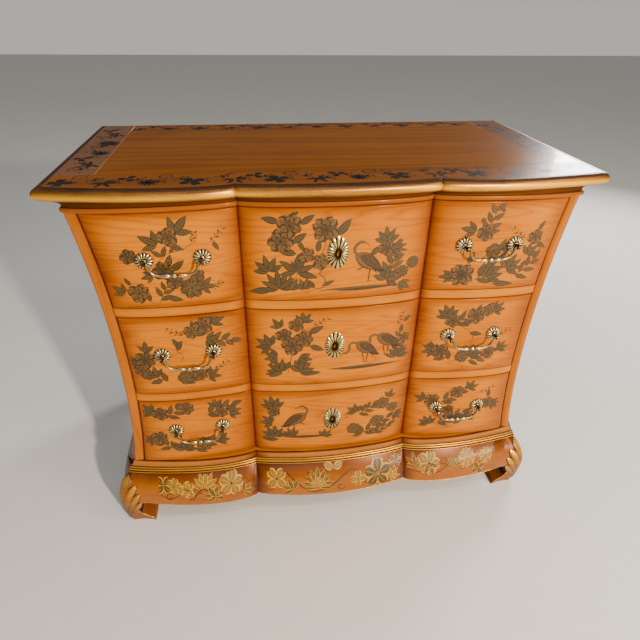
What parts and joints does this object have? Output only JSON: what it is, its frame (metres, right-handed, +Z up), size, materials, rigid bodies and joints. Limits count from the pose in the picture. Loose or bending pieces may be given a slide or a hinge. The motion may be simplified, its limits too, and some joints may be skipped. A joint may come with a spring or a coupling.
{
  "type": "serpentine chest of drawers",
  "caption": "Low bombe-sided chest with a three-lobed serpentine front, full-width drawers on bail pulls, a banded molded top and curled bracket feet.",
  "frame": {"origin": "middle of the footprint, on the floor", "axes": "+Z up, -Y towards the drawer fronts, +X towards the right side as seen from the front"},
  "size_m": [0.9488, 0.5042, 0.767],
  "materials": {
    "apron_front": "glossy lacquer over painted ornament",
    "back_panel": "plain sanded wood",
    "base_molding": "satin bronze gilding",
    "bottom_board": "plain sanded wood",
    "bottom_rail": "plain sanded wood",
    "drawer_1_back": "plain sanded wood",
    "drawer_1_bail_left": "antique brass, darkened in the recesses",
    "drawer_1_bail_right": "antique brass, darkened in the recesses",
    "drawer_1_bottom": "plain sanded wood",
    "drawer_1_front": "glossy lacquer over painted ornament",
    "drawer_1_keyhole_plate": "antique brass, darkened in the recesses",
    "drawer_1_mount_left_inner": "antique brass, darkened in the recesses",
    "drawer_1_mount_left_outer": "antique brass, darkened in the recesses",
    "drawer_1_mount_right_inner": "antique brass, darkened in the recesses",
    "drawer_1_mount_right_outer": "antique brass, darkened in the recesses",
    "drawer_1_side_left": "plain sanded wood",
    "drawer_1_side_right": "plain sanded wood",
    "drawer_2_back": "plain sanded wood",
    "drawer_2_bail_left": "antique brass, darkened in the recesses",
    "drawer_2_bail_right": "antique brass, darkened in the recesses",
    "drawer_2_bottom": "plain sanded wood",
    "drawer_2_front": "glossy lacquer over painted ornament",
    "drawer_2_keyhole_plate": "antique brass, darkened in the recesses",
    "drawer_2_mount_left_inner": "antique brass, darkened in the recesses",
    "drawer_2_mount_left_outer": "antique brass, darkened in the recesses",
    "drawer_2_mount_right_inner": "antique brass, darkened in the recesses",
    "drawer_2_mount_right_outer": "antique brass, darkened in the recesses",
    "drawer_2_side_left": "plain sanded wood",
    "drawer_2_side_right": "plain sanded wood",
    "drawer_3_back": "plain sanded wood",
    "drawer_3_bail_left": "antique brass, darkened in the recesses",
    "drawer_3_bail_right": "antique brass, darkened in the recesses",
    "drawer_3_bottom": "plain sanded wood",
    "drawer_3_front": "glossy lacquer over painted ornament",
    "drawer_3_keyhole_plate": "antique brass, darkened in the recesses",
    "drawer_3_mount_left_inner": "antique brass, darkened in the recesses",
    "drawer_3_mount_left_outer": "antique brass, darkened in the recesses",
    "drawer_3_mount_right_inner": "antique brass, darkened in the recesses",
    "drawer_3_mount_right_outer": "antique brass, darkened in the recesses",
    "drawer_3_side_left": "plain sanded wood",
    "drawer_3_side_right": "plain sanded wood",
    "foot_front_left": "satin bronze gilding",
    "foot_front_right": "satin bronze gilding",
    "foot_rear_left": "dark satin lacquer",
    "foot_rear_right": "dark satin lacquer",
    "rail_lower": "glossy lacquer over painted ornament",
    "rail_upper": "glossy lacquer over painted ornament",
    "runner_frame_lower": "plain sanded wood",
    "runner_frame_upper": "plain sanded wood",
    "side_left": "dark satin lacquer",
    "side_right": "dark satin lacquer",
    "stile_left": "glossy lacquer over painted ornament",
    "stile_right": "glossy lacquer over painted ornament",
    "top_border": "glossy lacquer over painted ornament",
    "top_cove": "dark lacquer",
    "top_edge_front": "satin bronze gilding",
    "top_edge_left": "satin bronze gilding",
    "top_edge_right": "satin bronze gilding",
    "top_panel": "glossy lacquer",
    "top_rail": "plain sanded wood"
  },
  "bodies": {
    "case": {"apron_front": "apron_front", "back_panel": "back_panel", "base_molding": "base_molding", "bottom_board": "bottom_board", "bottom_rail": "bottom_rail", "foot_front_left": "foot_front_left", "foot_front_right": "foot_front_right", "foot_rear_left": "foot_rear_left", "foot_rear_right": "foot_rear_right", "rail_lower": "rail_lower", "rail_upper": "rail_upper", "runner_frame_lower": "runner_frame_lower", "runner_frame_upper": "runner_frame_upper", "side_left": "side_left", "side_right": "side_right", "stile_left": "stile_left", "stile_right": "stile_right", "top_border": "top_border", "top_cove": "top_cove", "top_edge_front": "top_edge_front", "top_edge_left": "top_edge_left", "top_edge_right": "top_edge_right", "top_panel": "top_panel", "top_rail": "top_rail"},
    "drawer_1": {"drawer_1_back": "drawer_1_back", "drawer_1_bottom": "drawer_1_bottom", "drawer_1_front": "drawer_1_front", "drawer_1_keyhole_plate": "drawer_1_keyhole_plate", "drawer_1_mount_left_inner": "drawer_1_mount_left_inner", "drawer_1_mount_left_outer": "drawer_1_mount_left_outer", "drawer_1_mount_right_inner": "drawer_1_mount_right_inner", "drawer_1_mount_right_outer": "drawer_1_mount_right_outer", "drawer_1_side_left": "drawer_1_side_left", "drawer_1_side_right": "drawer_1_side_right"},
    "drawer_2": {"drawer_2_back": "drawer_2_back", "drawer_2_bottom": "drawer_2_bottom", "drawer_2_front": "drawer_2_front", "drawer_2_keyhole_plate": "drawer_2_keyhole_plate", "drawer_2_mount_left_inner": "drawer_2_mount_left_inner", "drawer_2_mount_left_outer": "drawer_2_mount_left_outer", "drawer_2_mount_right_inner": "drawer_2_mount_right_inner", "drawer_2_mount_right_outer": "drawer_2_mount_right_outer", "drawer_2_side_left": "drawer_2_side_left", "drawer_2_side_right": "drawer_2_side_right"},
    "drawer_3": {"drawer_3_back": "drawer_3_back", "drawer_3_bottom": "drawer_3_bottom", "drawer_3_front": "drawer_3_front", "drawer_3_keyhole_plate": "drawer_3_keyhole_plate", "drawer_3_mount_left_inner": "drawer_3_mount_left_inner", "drawer_3_mount_left_outer": "drawer_3_mount_left_outer", "drawer_3_mount_right_inner": "drawer_3_mount_right_inner", "drawer_3_mount_right_outer": "drawer_3_mount_right_outer", "drawer_3_side_left": "drawer_3_side_left", "drawer_3_side_right": "drawer_3_side_right"},
    "drawer_1_bail_left": {"drawer_1_bail_left": "drawer_1_bail_left"},
    "drawer_1_bail_right": {"drawer_1_bail_right": "drawer_1_bail_right"},
    "drawer_2_bail_left": {"drawer_2_bail_left": "drawer_2_bail_left"},
    "drawer_2_bail_right": {"drawer_2_bail_right": "drawer_2_bail_right"},
    "drawer_3_bail_left": {"drawer_3_bail_left": "drawer_3_bail_left"},
    "drawer_3_bail_right": {"drawer_3_bail_right": "drawer_3_bail_right"}
  },
  "joints": [
    {"name": "drawer_1_slide", "type": "slide", "parent": "case", "child": "drawer_1", "axis": [0, -1, 0], "range_m": [0, 0.3]},
    {"name": "drawer_1_bail_left_hinge", "type": "hinge", "parent": "drawer_1", "child": "drawer_1_bail_left", "pos_m": [-0.28, -0.21975, 0.25275], "axis": [-1, 0, 0], "range_deg": [0, 95]},
    {"name": "drawer_1_bail_right_hinge", "type": "hinge", "parent": "drawer_1", "child": "drawer_1_bail_right", "pos_m": [0.28, -0.21975, 0.25275], "axis": [-1, 0, 0], "range_deg": [0, 95]},
    {"name": "drawer_2_slide", "type": "slide", "parent": "case", "child": "drawer_2", "axis": [0, -1, 0], "range_m": [0, 0.3]},
    {"name": "drawer_2_bail_left_hinge", "type": "hinge", "parent": "drawer_2", "child": "drawer_2_bail_left", "pos_m": [-0.28, -0.21975, 0.4445], "axis": [-1, 0, 0], "range_deg": [0, 95]},
    {"name": "drawer_2_bail_right_hinge", "type": "hinge", "parent": "drawer_2", "child": "drawer_2_bail_right", "pos_m": [0.28, -0.21975, 0.4445], "axis": [-1, 0, 0], "range_deg": [0, 95]},
    {"name": "drawer_3_slide", "type": "slide", "parent": "case", "child": "drawer_3", "axis": [0, -1, 0], "range_m": [0, 0.3]},
    {"name": "drawer_3_bail_left_hinge", "type": "hinge", "parent": "drawer_3", "child": "drawer_3_bail_left", "pos_m": [-0.28, -0.21975, 0.641], "axis": [-1, 0, 0], "range_deg": [0, 95]},
    {"name": "drawer_3_bail_right_hinge", "type": "hinge", "parent": "drawer_3", "child": "drawer_3_bail_right", "pos_m": [0.28, -0.21975, 0.641], "axis": [-1, 0, 0], "range_deg": [0, 95]}
  ]
}
